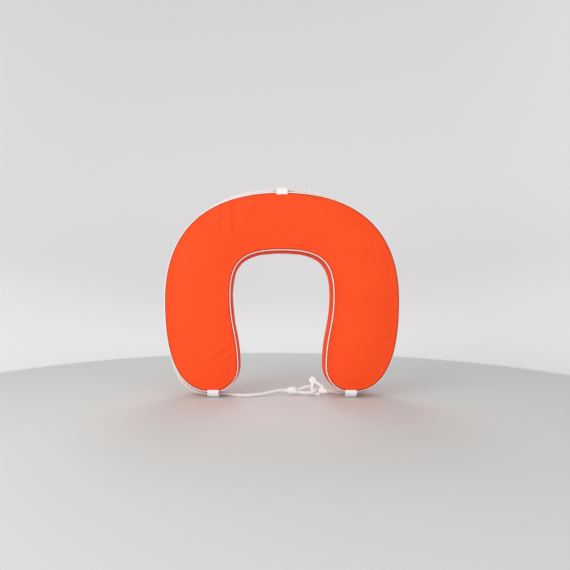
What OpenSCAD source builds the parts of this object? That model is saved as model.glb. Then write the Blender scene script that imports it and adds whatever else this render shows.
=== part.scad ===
// Horseshoe lifebuoy: three foam slabs in a sewn cover with piped seams, a grab line held to its
// edge by three webbing loops, and an eye and a snap hook that close the rope across the mouth.
// Millimetres. +Z is up, the front faces -Y, and the two leg loops stand on Z = 0.

/* [Cover outline] */
// Width of the cover across its seams
cover_w = 620; // [560:5:680]
// Height of the cover from the leg tips to the top of the arch
cover_h = 526; // [490:2:580]
// Height of the widest place above the leg tips
widest_z = 243; // [225:1:265]
// Width of the band at the top of the arch
arch_band = 147; // [125:1:165]
// Width of the opening at its widest place
opening_w = 284; // [264:2:310]
// Height of the opening's widest place above the leg tips
opening_z = 255; // [240:1:270]
// Width of the mouth between the legs
mouth_w = 242; // [236:2:262]
// Height of the mouth's narrowest place above the leg tips
mouth_z = 63; // [52:1:74]
// Distance between the two leg tips
tip_spacing = 368; // [350:2:390]

/* [Cover fabric] */
// Width of the gusset strips, which sets the thickness of the cover at its seams
gusset_w = 90; // [76:1:104]
// Rise of the front and rear panels along the middle of the band
crown = 9; // [4:0.5:14]
// Swell of the gusset strips halfway between the seams
swell = 9; // [6:0.5:11]
// Thickness of the coated fabric
fabric_t = 1; // [0.8:0.1:1.4]
// Diameter of the piping bead along each seam
piping_d = 4; // [3:0.5:6]

/* [Foam] */
// Thickness of the middle foam slab
middle_foam_t = 30; // [22:1:36]
// Distance from the seam line in to the edge of the outer slabs
foam_inset = 2; // [1.8:0.1:4]

/* [Rope and webbing] */
// Diameter of the rope
rope_d = 9; // [6:0.5:9.5]
// Width of the webbing tape
tape_w = 30; // [24:1:36]
// Thickness of the webbing tape
tape_t = 1.5; // [1:0.1:2]
// Length of the flat middle of each webbing loop
loop_flat = 50; // [36:1:56]
// Distance that the rope lies behind the middle of the gusset along the sides
rope_back = 22; // [0:1:28]
// Distance that the rope lies before the middle of the gusset at the top loop
top_rope_front = 20; // [0:1:20]
// Distance that the rope lies before the middle of the gusset at the left leg's loop
left_rope_front = 14; // [0:1:16]
// Distance that the slack rope stands off the gusset beside the leg loops
rope_slack = 3.5; // [0:0.5:4]

/* [Eye splice] */
// Length of the splice
splice_len = 34; // [28:1:36]
// Diameter of the splice where the two strands part
splice_d = 22; // [19:0.5:22.5]
// Radius of the eye's bend, on the middle of the rope
eye_bend_r = 13; // [12.5:0.1:14]
// Angle between the eye and the ground
eye_tilt = 30; // [20:1:32]

/* [Snap hook] */
// Thickness of the hook across its flat sides
hook_t = 7.5; // [6.5:0.1:7.7]
// Width of the hook's post and lower arm
hook_bar = 6.2; // [5.4:0.1:6.4]
// Radius of the hook's head
head_r = 9; // [8:0.1:9.6]
// Height of the gate pin above the ground
pin_z = 41.5; // [41:0.1:43]
// Diameter of the gate pin
pin_d = 3; // [2.4:0.1:3.2]
// Distance from the gate pin to the tip of the gate
gate_len = 27; // [26:0.1:27.5]
// Width of the gate
gate_w = 7.4; // [6:0.1:8]
// Thickness of the gate between the cheeks of the head
gate_t = 3; // [2.6:0.1:3.4]
// Angle through which the gate opens
gate_open = 20; // [10:1:20]
// Outer diameter of the rope socket at its mouth
socket_d = 13.5; // [12.5:0.1:15]
// Length of the rope socket
socket_len = 23; // [20:1:26]

/* [Hidden] */
$fn = 48;

// Clearance between pieces that lie against each other
gap = 0.3;
// Colours of the cover, the piping, the foam, the rope, the webbing, the moulding and the steel
cover_colour = "#fa5a2d";
piping_colour = "#f1ece6";
foam_colour = "#e9e6da";
rope_colour = "#f4f2ee";
tape_colour = "#f6f3ee";
moulding_colour = "#f2f0ec";
steel_colour = "#a9adb0";

// Heights: the rope runs between the gusset and the webbing, and the webbing stands on the ground
rope_r = rope_d / 2;
piping_r = piping_d / 2;
loop_inner_n = swell + gap + rope_d + gap;
base_z = loop_inner_n + tape_t;
top_z = base_z + cover_h;
half_gusset = gusset_w / 2;

// Outline of the right half: five curves from the top of the arch, round the leg and up the opening.
// Each curve leaves and arrives level or upright, and its fullness says how square its corner is.
top_point = [0, top_z];
side_point = [cover_w / 2, base_z + widest_z];
tip_point = [tip_spacing / 2, base_z];
mouth_point = [mouth_w / 2, base_z + mouth_z];
opening_point = [opening_w / 2, base_z + opening_z];
arch_point = [0, top_z - arch_band];
function level_to_upright(a, b, fa, fb) =
    [a, [a.x + (b.x - a.x) * fa, a.y], [b.x, b.y + (a.y - b.y) * fb], b];
function upright_to_level(a, b, fa, fb) =
    [a, [a.x, a.y + (b.y - a.y) * fa], [b.x + (a.x - b.x) * fb, b.y], b];
function upright_to_upright(a, b, f) =
    [a, [a.x, a.y + (b.y - a.y) * f], [b.x, b.y + (a.y - b.y) * f], b];
outline_curves = [
    level_to_upright(top_point, side_point, 0.70, 0.60),
    upright_to_level(side_point, tip_point, 0.68, 0.68),
    level_to_upright(tip_point, mouth_point, 0.55, 0.55),
    upright_to_upright(mouth_point, opening_point, 0.45),
    upright_to_level(opening_point, arch_point, 0.75, 0.75)];

// Stations along the outline: how many steps each curve takes, and where each one starts
curve_steps = [12, 10, 5, 5, 12];
curve_start = [0, 12, 22, 27, 32, 44];
half_steps = 44;
steps = 2 * half_steps;
tip_station = 22;
// Station where the band's end begins to fan round the toe of the leg
toe_station = 17;
// Station where the outer and the inner gusset strips are sewn together
join_station = 26;

function bezier(c, t) = let (s = 1 - t)
    s * s * s * c[0] + 3 * s * s * t * c[1] + 3 * s * t * t * c[2] + t * t * t * c[3];
function bezier_dir(c, t) = let (s = 1 - t)
    s * s * (c[1] - c[0]) + 2 * s * t * (c[2] - c[1]) + t * t * (c[3] - c[2]);
function unit(v) = v / norm(v);
function curve_at(b, k = 0) = b <= curve_start[k + 1] ? k : curve_at(b, k + 1);
function flip(p) = [-p.x, p.y];

// Point of the seam line and its outward direction at a station of the right half
function half_point(b) = let (k = curve_at(b))
    bezier(outline_curves[k], (b - curve_start[k]) / curve_steps[k]);
function half_out(b) = let (k = curve_at(b),
    d = unit(bezier_dir(outline_curves[k], (b - curve_start[k]) / curve_steps[k]))) [-d.y, d.x];
function wrap(b) = (b + steps) % steps;
function seam_point(b) = let (w = wrap(b)) w <= half_steps ? half_point(w) : flip(half_point(steps - w));
function seam_out(b) = let (w = wrap(b)) w <= half_steps ? half_out(w) : flip(half_out(steps - w));
function offset_point(b, n) = seam_point(b) + seam_out(b) * n;

// Middle line of the band, from the toe of the left leg over the arch to the toe of the right leg
band_top = (top_point + arch_point) / 2;
band_side = (side_point + opening_point) / 2;
toe_rise = 20;
band_toe = [(half_point(toe_station).x + mouth_point.x) / 2, mouth_point.y + toe_rise];
band_arch = level_to_upright(band_top, band_side, 0.70, 0.65);
function half_spine(s) = s <= curve_start[1] ? bezier(band_arch, s / curve_start[1])
    : let (t = (s - curve_start[1]) / (toe_station - curve_start[1])) band_side + (band_toe - band_side) * t;
function half_spine_no(b) = min(b, toe_station, half_steps - b);
function spine_no(b) = let (w = wrap(b))
    toe_station + (w <= half_steps ? half_spine_no(w) : -half_spine_no(steps - w));
function spine_point(i) = i >= toe_station ? half_spine(i - toe_station)
    : flip(half_spine(toe_station - i));
spine_count = 2 * toe_station + 1;

// Rows of the panels, as shares of the way from the middle line out to the seam
panel_rows = [1, 0.88, 0.62, 0.3];
crown_power = 2.5;
function rise(f) = crown * (1 - pow(f, crown_power));
half_band = arch_band / 2;
foam_rows = [1 - foam_inset / half_band, 0.88, 0.62, 0.3];

// Swell of the gusset at a distance y from its middle
function gusset_n(y) = swell * (1 - pow(y / half_gusset, 2));

// Faces between two rows of points round the band, and from the last row to the middle line
function strip_faces(a, b) = [for (i = [0 : steps - 1]) let (j = (i + 1) % steps)
    each [[a + i, b + i, b + j], [a + i, b + j, a + j]]];
function spine_faces(a, s) = [for (i = [0 : steps - 1]) let (j = (i + 1) % steps,
    si = s + spine_no(i), sj = s + spine_no(j))
    each si == sj ? [[a + i, si, a + j]] : [[a + i, si, sj], [a + i, sj, a + j]]];
function reverse(faces) = [for (f = faces) [f[2], f[1], f[0]]];

// Points of one side of a band solid: its rows, then the middle line, at the depths that are given
function band_points(rows, depths) = concat(
    [for (k = [0 : len(rows) - 1]) for (b = [0 : steps - 1])
        let (s = spine_point(spine_no(b)), p = s + (seam_point(b) - s) * rows[k]) [p.x, depths[k], p.y]],
    [for (i = [0 : spine_count - 1]) let (s = spine_point(i)) [s.x, depths[len(rows)], s.y]]);
function band_faces(count, first) = concat(
    [for (k = [0 : 1 : count - 2]) each strip_faces(first + k * steps, first + (k + 1) * steps)],
    spine_faces(first + (count - 1) * steps, first + count * steps));

// Solid that follows the band, between a near side and a far side
module band_solid(near_rows, near_depths, far_rows, far_depths) {
    near = band_points(near_rows, near_depths);
    far = band_points(far_rows, far_depths);
    polyhedron(
        concat(near, far),
        concat(reverse(band_faces(len(near_rows), 0)),
            band_faces(len(far_rows), len(near)),
            strip_faces(0, len(near))));
}

// Strip of cloth across the gusset from one station to another
module gusset_strip(first, last) {
    edge = half_gusset - fabric_t - gap / 2;
    across = [for (i = [-2 : 2]) edge * i / 2];
    count = len(across);
    rings = [for (b = [first : last]) concat(
        [for (y = across) let (p = offset_point(b, gusset_n(y))) [p.x, y, p.y]],
        [for (i = [count - 1 : -1 : 0]) let (y = across[i], p = offset_point(b, gusset_n(y) - fabric_t))
            [p.x, y, p.y]])];
    loft(rings);
}

// Solid through a row of rings that have the same number of points
module loft(rings, closed = false) {
    n = len(rings[0]);
    m = len(rings);
    spans = closed ? m : m - 1;
    sides = [for (k = [0 : spans - 1]) for (i = [0 : n - 1])
        let (a = k * n, b = ((k + 1) % m) * n, j = (i + 1) % n)
        each [[a + i, b + i, b + j], [a + i, b + j, a + j]]];
    caps = closed ? [] : [[for (i = [0 : n - 1]) i], [for (i = [n - 1 : -1 : 0]) (m - 1) * n + i]];
    polyhedron([for (r = rings) each r], concat(sides, caps));
}

// Round tube along a path; across is a direction that the path never follows
module tube(path, d, sides, across, closed = false) {
    m = len(path);
    rings = [for (i = [0 : m - 1])
        let (before = closed ? path[(i + m - 1) % m] : path[max(i - 1, 0)],
            after = closed ? path[(i + 1) % m] : path[min(i + 1, m - 1)],
            along = unit(after - before),
            u = unit(cross(along, across)),
            v = cross(along, u))
        [for (k = [0 : sides - 1]) let (a = 360 * (k + 0.5) / sides)
            path[i] + (u * cos(a) + v * sin(a)) * d / 2]];
    loft(rings, closed);
}

// Seam piping at one face of the cover
bead_n = piping_r + gap;
module piping(y) {
    path = [for (b = [0 : steps - 1]) let (p = offset_point(b, bead_n)) [p.x, y, p.y]];
    color(piping_colour) tube(path, piping_d, 6, [0, 1, 0], closed = true);
}
piping_y = half_gusset + 0.5;

// Webbing loop over the rope and the two beads, with its outward side up; its ends turn in to the seams
loop_reach = piping_y + piping_r + gap;
loop_arc_steps = 10;
loop_lip = 2;
loop_turn_in = 1.5;
function loop_side(flat, reach, height) = [for (i = [0 : loop_arc_steps])
    let (a = 90 * i / loop_arc_steps)
    [flat + (reach - flat) * sin(a), bead_n + (height - bead_n) * cos(a)]];
function loop_end(reach, height) = [[reach, height], [reach - loop_turn_in, height - loop_lip]];
module webbing_loop() {
    outer = concat(loop_side(loop_flat / 2, loop_reach + tape_t, loop_inner_n + tape_t),
        loop_end(loop_reach + tape_t, -tape_t / 2));
    inner = concat(loop_side(loop_flat / 2, loop_reach, loop_inner_n), loop_end(loop_reach, -gap));
    last = len(inner) - 1;
    half = concat(outer, [for (i = [last : -1 : 0]) inner[i]]);
    other = [for (i = [len(half) - 1 : -1 : 0]) flip(half[i])];
    color(tape_colour) rotate([90, 0, 90]) linear_extrude(tape_w, center = true) polygon(concat(half, other));
}

// Grab line: it lies before the middle at the top and left loops and behind it along the sides
function ease(t) = let (c = min(max(t, 0), 1)) c * c * (3 - 2 * c);
left_line_y = -left_rope_front;
function line_y(b) = let (over = ease((abs(b) - 1) / 5), under = ease((abs(b) - 14) / 6),
    end_y = b < 0 ? left_line_y : 0)
    -top_rope_front * (1 - over) + rope_back * over * (1 - under) + end_y * under;
function line_slack(b) = rope_slack * ease((abs(b) - 15) / 4.5) * (1 - ease((abs(b) - 20.5) / 1.5));
function line_point(b) = let (y = line_y(b),
    p = offset_point(b, gusset_n(y) + gap + rope_r + line_slack(b))) [p.x, y, p.y];
line_end_x = tip_spacing / 2 - tape_w / 2 - 5;
function line_z(y) = base_z - gusset_n(y) - gap - rope_r;
left_line_end = [-line_end_x, left_line_y, line_z(left_line_y)];
right_line_end = [line_end_x, 0, line_z(0)];
line_path = concat([left_line_end], [for (b = [-tip_station : tip_station]) line_point(b)], [right_line_end]);

// Closure across the mouth: x runs along it from the left end of the splice, turned about Z
closure_start = [8, 4];
closure_turn = -3;
closure_z = 11.5;
function closure_point(x) = [closure_start.x + x * cos(closure_turn), closure_start.y + x * sin(closure_turn),
    closure_z];
module in_closure() translate([closure_start.x, closure_start.y, 0]) rotate([0, 0, closure_turn]) children();

// Places along the closure
eye_inside_x = 81.8;
eye_end_x = eye_inside_x + rope_r;
throat_x = 86;
bend_x = eye_end_x - eye_bend_r;
pin_back = 8;
post_back = 10.6;
socket_ahead = 9;
pin_x = throat_x - pin_back;
post_x = throat_x - post_back;
socket_x = throat_x + socket_ahead;
socket_end_x = socket_x + socket_len;
socket_bore_depth = socket_len - 5;
arm_z = 0.5 + hook_bar / 2;

// Free stretches of the rope, from the leg loops to the closure
rope_lead = 14;
left_route = concat(
    [left_line_end, left_line_end + [rope_lead, 0, 0]],
    [[-132, -21, 5.4], [-114, -29, 5.1], [-94, -31, 5.1], [-72, -25.5, 5.1], [-51, -15, 5.4], [-33, -5, 6.9],
        [-19, 1.5, 9.4]],
    [closure_point(-rope_lead), closure_point(0)]);
right_route = concat(
    [closure_point(socket_end_x - socket_bore_depth + gap), closure_point(socket_end_x),
        closure_point(socket_end_x + rope_lead)],
    [[146, -2.6, 9.9], [151.5, -1.4, 7.8]],
    [right_line_end - [rope_lead / 2, 0, 0], right_line_end]);

// Eye: two legs that part from the splice and the bend that joins them, in a tilted plane that
// lifts towards the hook, so that the bend clears the hook's lower arm
strand_q = rope_r + gap;
eye_leg = [[splice_len, strand_q], [splice_len + 3, strand_q], [43, 6.4], [50, 9.3], [58, 11.9], [65, 12.8]];
eye_bend = [for (a = [90 : -30 : -90]) [bend_x + eye_bend_r * cos(a), eye_bend_r * sin(a)]];
eye_back = [for (i = [len(eye_leg) - 1 : -1 : 0]) [eye_leg[i].x, -eye_leg[i].y]];
eye_lift = 3.6;
function lift_at(x) = eye_lift * ease((x - splice_len - 3) / (bend_x - splice_len));
eye_route = [for (p = concat(eye_leg, eye_bend, eye_back))
    [p.x, p.y * cos(eye_tilt), closure_z + p.y * sin(eye_tilt) + lift_at(p.x)]];
eye_normal = [0, -sin(eye_tilt), cos(eye_tilt)];

// Gate: its rest direction points at the lug, and it swings down into the throat
gate_angle = -33;
gate_room = 0.4;
gate_wide_from = head_r + 3;
knuckle_r = 4.4;
pin_bore_d = pin_d + 0.04;
gate_bore_d = pin_d + 0.12;
pin_recess = 0.5;
// Room for the swing in the head: from the upper edge of the shut gate to the lower edge of the open one
gate_slot_reach = 2 * head_r;
function from_pin(along, off, angle) =
    [along * cos(angle) - off * sin(angle), along * sin(angle) + off * cos(angle)];
slot_side = gate_w / 2 + gate_room;
// Lug that the tip of the shut gate meets, and its foot on the socket
lug_w = gate_w + 2;
lug_top = [pin_x, pin_z] + from_pin(gate_len + 3, 0, gate_angle);
lug_foot = [socket_x + 12, closure_z + 1];
gate_slot = [from_pin(0, slot_side, gate_angle), from_pin(gate_slot_reach, slot_side, gate_angle),
    from_pin(gate_slot_reach, -slot_side, gate_angle - gate_open), from_pin(0, -slot_side, gate_angle - gate_open)];
spring_pocket_r = knuckle_r - 0.6;
spring_r = spring_pocket_r - 0.4;

module front_panel() {
    depths = [for (f = concat(panel_rows, 0)) -half_gusset - rise(f)];
    color(cover_colour)
        band_solid(panel_rows, depths, panel_rows, [for (d = depths) d + fabric_t]);
}

module rear_panel() {
    depths = [for (f = concat(panel_rows, 0)) half_gusset + rise(f)];
    color(cover_colour)
        band_solid(panel_rows, [for (d = depths) d - fabric_t], panel_rows, depths);
}

module outer_gusset() {
    color(cover_colour) gusset_strip(-join_station, join_station);
}

module inner_gusset() {
    color(cover_colour) gusset_strip(join_station, steps - join_station);
}

module front_piping() {
    piping(-piping_y);
}

module rear_piping() {
    piping(piping_y);
}

module front_foam() {
    depths = [for (f = concat(foam_rows, 0)) -half_gusset - rise(f) + fabric_t + gap];
    color(foam_colour)
        band_solid(foam_rows, depths, [foam_rows[0]], [-middle_foam_t / 2, -middle_foam_t / 2]);
}

module middle_foam() {
    reach = gusset_n(middle_foam_t / 2) - fabric_t - 1;
    color(foam_colour) rotate([90, 0, 0]) linear_extrude(middle_foam_t, center = true)
        polygon([for (b = [0 : steps - 1]) offset_point(b, reach)]);
}

module rear_foam() {
    depths = [for (f = concat(foam_rows, 0)) half_gusset + rise(f) - fabric_t - gap];
    color(foam_colour)
        band_solid([foam_rows[0]], [middle_foam_t / 2, middle_foam_t / 2], foam_rows, depths);
}

module top_rope_loop() {
    translate([0, 0, top_z]) webbing_loop();
}

module left_rope_loop() {
    translate([-tip_spacing / 2, 0, base_z]) mirror([0, 0, 1]) webbing_loop();
}

module right_rope_loop() {
    translate([tip_spacing / 2, 0, base_z]) mirror([0, 0, 1]) webbing_loop();
}

module grab_line() {
    color(rope_colour) tube(line_path, rope_d, 8, [0, 1, 0]);
}

module left_tail() {
    color(rope_colour) tube(left_route, rope_d, 8, [0, 0, 1]);
}

// Tapered body of the splice, where the strands are tucked back into the rope
module eye_splice() {
    color(rope_colour) in_closure() translate([0, 0, closure_z]) rotate([0, 90, 0]) rotate_extrude()
        polygon([[0, 0], [rope_r, 0], [rope_r + 1, 6], [splice_d / 2 - 0.7, splice_len * 0.55],
            [splice_d / 2, splice_len * 0.8], [splice_d / 2, splice_len], [0, splice_len]]);
}

module rope_eye() {
    color(rope_colour) in_closure() tube(eye_route, rope_d, 8, eye_normal);
}

module right_tail() {
    color(rope_colour) tube(right_route, rope_d, 8, [0, 0, 1]);
}

// Flat bar between two points
module bar(a, b, w) {
    d = b - a;
    translate(a) rotate(atan2(d.y, d.x)) translate([0, -w / 2]) square([norm(d), w]);
}

// Outline in the plane of the hook, made as thick as t
module hook_plate(t) rotate([90, 0, 0]) linear_extrude(t, center = true) children();

// Gate seen from the front, with its square tip trimmed to the swing
module gate_shape() {
    translate([pin_x, pin_z]) {
        circle(r = knuckle_r);
        intersection() {
            rotate(gate_angle) translate([0, -gate_w / 2]) square([gate_len + 1, gate_w]);
            circle(r = gate_len);
        }
    }
}

module hook_body() {
    color(moulding_colour) in_closure() difference() {
        union() {
            hook_plate(hook_t) {
                bar([post_x, arm_z], [pin_x, pin_z], hook_bar);
                bar([post_x, arm_z], [socket_x + 3, arm_z], hook_bar);
                translate([pin_x, pin_z]) circle(r = head_r);
                translate([post_x, arm_z]) circle(d = hook_bar + 1);
            }
            difference() {
                union() {
                    hook_plate(hook_t) {
                        bar(lug_top, lug_foot, lug_w);
                        translate(lug_top) circle(d = lug_w + 0.6);
                    }
                    translate([socket_x, 0, closure_z]) rotate([0, 90, 0])
                        cylinder(h = socket_len, d1 = socket_d + 3, d2 = socket_d);
                }
                hook_plate(3 * hook_t) translate([pin_x, pin_z]) circle(r = gate_len + gate_room);
            }
        }
        translate([socket_end_x - socket_bore_depth, 0, closure_z]) rotate([0, 90, 0])
            cylinder(h = socket_len, d = rope_d + gap);
        hook_plate(gate_t + 2 * gap) translate([pin_x, pin_z]) {
            circle(r = knuckle_r + 2 * gap);
            polygon(gate_slot);
        }
        translate([pin_x, 0, pin_z]) rotate([90, 0, 0]) cylinder(h = 2 * hook_t, d = pin_bore_d, center = true);
    }
}

module hook_gate() {
    color(moulding_colour) in_closure() difference() {
        union() {
            hook_plate(gate_t) gate_shape();
            hook_plate(hook_t) difference() {
                gate_shape();
                translate([pin_x, pin_z]) circle(r = gate_wide_from);
            }
        }
        translate([pin_x, 0, pin_z]) rotate([90, 0, 0]) cylinder(h = 2 * hook_t, d = gate_bore_d, center = true);
        translate([pin_x, 0, pin_z]) rotate([-90, 0, 0]) cylinder(h = hook_t, r = spring_pocket_r);
    }
}

module gate_pin() {
    color(steel_colour) in_closure() translate([pin_x, 0, pin_z]) rotate([90, 0, 0])
        cylinder(h = hook_t - 2 * pin_recess, d = pin_d, center = true);
}

// Coil of the return spring, in the pocket of the gate
module gate_spring() {
    color(steel_colour) in_closure() translate([pin_x, 0.15, pin_z]) rotate([-90, 0, 0])
        difference() {
            cylinder(h = gate_t / 2, r = spring_r);
            translate([0, 0, -1]) cylinder(h = gate_t, d = gate_bore_d + 0.6);
        }
}

front_panel();
rear_panel();
outer_gusset();
inner_gusset();
front_piping();
rear_piping();
front_foam();
middle_foam();
rear_foam();
top_rope_loop();
left_rope_loop();
right_rope_loop();
grab_line();
left_tail();
eye_splice();
rope_eye();
right_tail();
hook_body();
hook_gate();
gate_pin();
gate_spring();
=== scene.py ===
# %% [markdown]
# # Horseshoe lifebuoy
# The lifebuoy is a sewn fabric cover round foam slabs, with white piping along its seams and a rope
# round its edge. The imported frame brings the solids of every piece, and this lesson dresses each of
# them: what shows gets its true surface, and what is hidden gets a plain but proper form.

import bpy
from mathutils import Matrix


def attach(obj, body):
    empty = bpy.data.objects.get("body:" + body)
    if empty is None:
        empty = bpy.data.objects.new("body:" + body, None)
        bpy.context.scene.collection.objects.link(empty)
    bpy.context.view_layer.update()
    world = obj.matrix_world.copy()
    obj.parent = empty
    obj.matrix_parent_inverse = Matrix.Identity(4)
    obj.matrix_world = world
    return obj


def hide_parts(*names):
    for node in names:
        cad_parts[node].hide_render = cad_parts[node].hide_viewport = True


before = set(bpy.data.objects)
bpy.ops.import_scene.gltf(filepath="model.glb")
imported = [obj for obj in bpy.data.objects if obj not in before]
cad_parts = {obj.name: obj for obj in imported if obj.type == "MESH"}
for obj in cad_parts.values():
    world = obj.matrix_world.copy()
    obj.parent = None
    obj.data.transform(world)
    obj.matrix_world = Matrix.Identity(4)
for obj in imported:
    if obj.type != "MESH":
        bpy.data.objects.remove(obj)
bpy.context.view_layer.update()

# %% [markdown]
# ## Camera
# The buoy is seen from the front, from about half its height and a little left of its middle, so
# that the fabric inside the opening shows on both legs and under the arch. A level camera keeps the
# legs upright, and a small shift puts the buoy where the picture has it.

# %% Make the camera
import math

import bmesh
import bpy
from mathutils import Matrix, Vector, noise
from mathutils.geometry import interpolate_bezier, intersect_point_line
from mathutils.kdtree import KDTree

MM = 0.001
PICTURE_PX = 570
focal_px = 487
camera_x = -48 * MM
camera_y = -1345 * MM
camera_z = 260 * MM
shift_px = Vector((21.0, 15.8))

scene = bpy.context.scene
scene.view_settings.view_transform = "Standard"
camera_data = bpy.data.cameras.new("camera")
camera_data.sensor_width = 36
camera_data.lens = focal_px / PICTURE_PX * camera_data.sensor_width
camera_data.shift_x = shift_px.x / PICTURE_PX
camera_data.shift_y = shift_px.y / PICTURE_PX
camera = bpy.data.objects.new("camera", camera_data)
camera.location = (camera_x, camera_y, camera_z)
camera.rotation_euler = (math.radians(90), 0, 0)
scene.collection.objects.link(camera)
scene.camera = camera
print("lens", round(camera_data.lens, 1), "mm")

# %% [markdown]
# ## Small helpers
# Every piece ends as one mesh object at the origin that rides on a body of the frame. A path is a
# plain list of points, and it is spaced evenly before anything follows it, because an uneven path
# stretches whatever is laid along it. A face of more than four sides is a flat end, and it stays flat
# so that its rim is crisp.


# %% Helpers for pieces and paths
def add_object(name, data):
    piece = bpy.data.objects.new(name, data)
    scene.collection.objects.link(piece)
    return piece


def mesh_piece(name, bm, smooth=True):
    mesh = bpy.data.meshes.new(name)
    bm.to_mesh(mesh)
    bm.free()
    if smooth:
        mesh.shade_smooth()
        for face in mesh.polygons:
            face.use_smooth = len(face.vertices) <= 4
    return add_object(name, mesh)


def dress(piece, body, slot, *nodes):
    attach(piece, body)
    if nodes:
        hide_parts(*nodes)
    print(piece.name, "on", body, "with", len(piece.data.polygons), "faces")


def path_length(points):
    return sum((b - a).length for a, b in zip(points, points[1:]))


def even(points, count):
    """The same path as count equal steps."""
    step = path_length(points) / count
    spaced = [points[0].copy()]
    due = step
    for a, b in zip(points, points[1:]):
        reach = (b - a).length
        while due <= reach and len(spaced) < count:
            spaced.append(a.lerp(b, due / reach))
            due += step
        due -= reach
    return spaced + [points[-1].copy()]


def rounded(points, resolution=12):
    """A smooth path through the points: each one gets handles along the line between its neighbours."""
    smooth = [points[0].copy()]
    last = len(points) - 1
    for i in range(last):
        a, b = points[i], points[i + 1]
        before = points[max(i - 1, 0)]
        after = points[min(i + 2, last)]
        reach = (b - a).length / 3
        leave = a + (b - before).normalized() * reach
        arrive = b - (after - a).normalized() * reach
        smooth += interpolate_bezier(a, leave, arrive, b, resolution + 1)[1:]
    return smooth


def ease(t):
    t = min(max(t, 0), 1)
    return t * t * (3 - 2 * t)


# %% [markdown]
# ## Seam outline
# The cover is cut as a horseshoe. Half of its seam is five Bezier curves, from the top of the arch
# down the outside, round the leg's tip and back up the inside, with the same places and fullness as
# the solids have. The other half is its mirror image.

# %% Sizes of the cover and its outline
cover_w = 620 * MM
cover_h = 526 * MM
arch_band = 147 * MM
opening_w = 284 * MM
mouth_w = 242 * MM
tip_spacing = 368 * MM
half_gusset = 45 * MM
crown = 9 * MM
swell = 9 * MM
fabric_t = 1 * MM
piping_d = 4 * MM
rope_d = 9 * MM
rope_r = rope_d / 2
tape_w = 30 * MM
tape_t = 1.5 * MM
clearance = 0.3 * MM
loop_inner = swell + rope_d + 2 * clearance
base_z = loop_inner + tape_t

top_point = Vector((0, 0, base_z + cover_h))
side_point = Vector((cover_w / 2, 0, base_z + 243 * MM))
tip_point = Vector((tip_spacing / 2, 0, base_z))
mouth_point = Vector((mouth_w / 2, 0, base_z + 63 * MM))
opening_point = Vector((opening_w / 2, 0, base_z + 255 * MM))
arch_point = Vector((0, 0, base_z + cover_h - arch_band))


def level_to_upright(a, b, leave, arrive):
    return (a, Vector((a.x + (b.x - a.x) * leave, 0, a.z)), Vector((b.x, 0, b.z + (a.z - b.z) * arrive)), b)


def upright_to_level(a, b, leave, arrive):
    return (a, Vector((a.x, 0, a.z + (b.z - a.z) * leave)), Vector((b.x + (a.x - b.x) * arrive, 0, b.z)), b)


def upright_to_upright(a, b, both):
    return (a, Vector((a.x, 0, a.z + (b.z - a.z) * both)), Vector((b.x, 0, b.z + (a.z - b.z) * both)), b)


seam_curves = [
    level_to_upright(top_point, side_point, 0.70, 0.60),
    upright_to_level(side_point, tip_point, 0.68, 0.68),
    level_to_upright(tip_point, mouth_point, 0.55, 0.55),
    upright_to_upright(mouth_point, opening_point, 0.45),
    upright_to_level(opening_point, arch_point, 0.75, 0.75),
]
arch_steps = 88
leg_steps = 60
seam_steps = (arch_steps, leg_steps, leg_steps // 2, leg_steps // 2, arch_steps)


def mirrored(points):
    return [Vector((-p.x, p.y, p.z)) for p in points]


def seam_half():
    """The right half of the seam, from the top of the arch to the underside of the arch."""
    points = [top_point.copy()]
    for curve, steps in zip(seam_curves, seam_steps):
        points += even(interpolate_bezier(*curve, 401), steps)[1:]
    return points


half = seam_half()
seam = half + mirrored(half)[-2:0:-1]
seam_n = len(seam)
tip_station = arch_steps + leg_steps
half_n = len(half) - 1


def seam_outward(i):
    along = seam[(i + 1) % seam_n] - seam[i - 1]
    return Vector((-along.z, 0, along.x)).normalized()


outward = [seam_outward(i) for i in range(seam_n)]


def gusset_reach(y):
    """How far the gusset stands out of the seam line at a depth of y."""
    return swell * (1 - (y / half_gusset) ** 2)


print("seam", round(path_length(seam), 3), "m in", seam_n, "steps")

# %% [markdown]
# ## Rope
# The rope is three strands laid round each other. One lay of the strands is a little over three
# rope diameters long. A cross-section with three lobes, swept along the path and turned steadily
# as it goes, makes the strands as real geometry, and the groove between them catches the light as
# it does on the real rope. Three separate tubes would cost three times the faces for the same look.
# A curve's tilt stops at sixty turns, so the turns are counted from the middle of the rope.

# %% Cross-section of the rope and its sweep
rope_lay = 27 * MM
rope_step = 2 * MM
groove_share = 0.74
rope_fullness = 1.03


def lobed_section(name, radius, lobes, points=36, groove=groove_share):
    """A closed flat curve of that many round lobes, which touch a circle of the radius."""
    curve = bpy.data.curves.new(name, "CURVE")
    curve.dimensions = "2D"
    spline = curve.splines.new("POLY")
    spline.points.add(points - 1)
    spline.use_cyclic_u = True
    opening = math.sin(math.pi / lobes)
    strand_r = radius * opening / (1 + opening)
    centre = radius - strand_r
    for k, point in enumerate(spline.points):
        angle = 2 * math.pi * k / points
        off = (angle + math.pi / lobes) % (2 * math.pi / lobes) - math.pi / lobes
        across = max(strand_r**2 - (centre * math.sin(off)) ** 2, 0)
        reach = max(centre * math.cos(off) + math.sqrt(across), radius * groove)
        point.co = (reach * math.cos(angle), reach * math.sin(angle), 0, 1)
    return add_object(name, curve)


def stepped(path):
    """The same path in even steps, each about as long as the rope's step."""
    return even(path, max(round(path_length(path) / rope_step), 8))


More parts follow.
